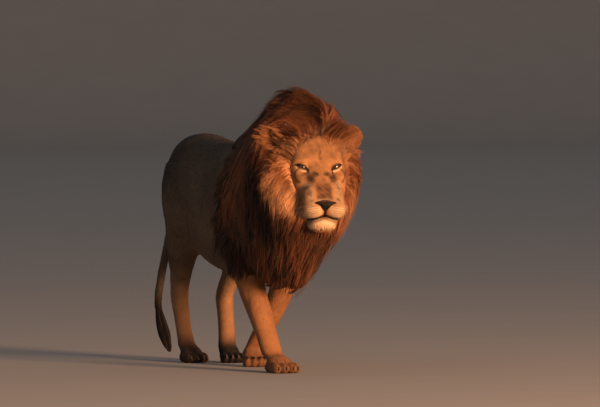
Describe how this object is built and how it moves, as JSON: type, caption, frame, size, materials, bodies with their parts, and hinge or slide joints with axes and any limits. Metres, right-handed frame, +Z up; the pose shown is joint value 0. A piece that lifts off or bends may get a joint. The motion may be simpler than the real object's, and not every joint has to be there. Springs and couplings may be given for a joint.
{
  "type": "male lion",
  "caption": "Life-size still model of an adult male African lion walking, with a full dark mane, head turned a little to its right and tail hanging.",
  "frame": {"origin": "on the floor, below the middle of the lion's overall box", "axes": "+Z up, the lion faces -Y, +X towards the lion's own left side"},
  "size_m": [0.544, 1.9106, 1.2175],
  "materials": {
    "short_coat": "short tawny fur that lies flat, greyer on the flank and paler on chin and lower legs",
    "tawny_mane": "long golden orange hair round the face",
    "dark_mane": "long dark brown to black hair with auburn streaks",
    "nose_skin": "bare dark nose leather, slightly moist",
    "eye": "amber eye with a round black pupil, wet and glossy"
  },
  "bodies": {
    "root": {"head": "short_coat", "jaw": "short_coat", "nose": "nose_skin", "eye_left": "eye", "eye_right": "eye", "ear_left": "tawny_mane", "ear_right": "tawny_mane", "mane_ruff": "tawny_mane", "mane_crest": "dark_mane", "neck": "dark_mane", "mane_chest": "dark_mane", "mane_withers": "dark_mane", "trunk": "short_coat", "foreleg_right": "short_coat", "foreleg_left": "short_coat", "hindleg_right": "short_coat", "hindleg_left": "short_coat", "tail": "short_coat", "tail_tuft": "dark_mane"}
  },
  "joints": []
}
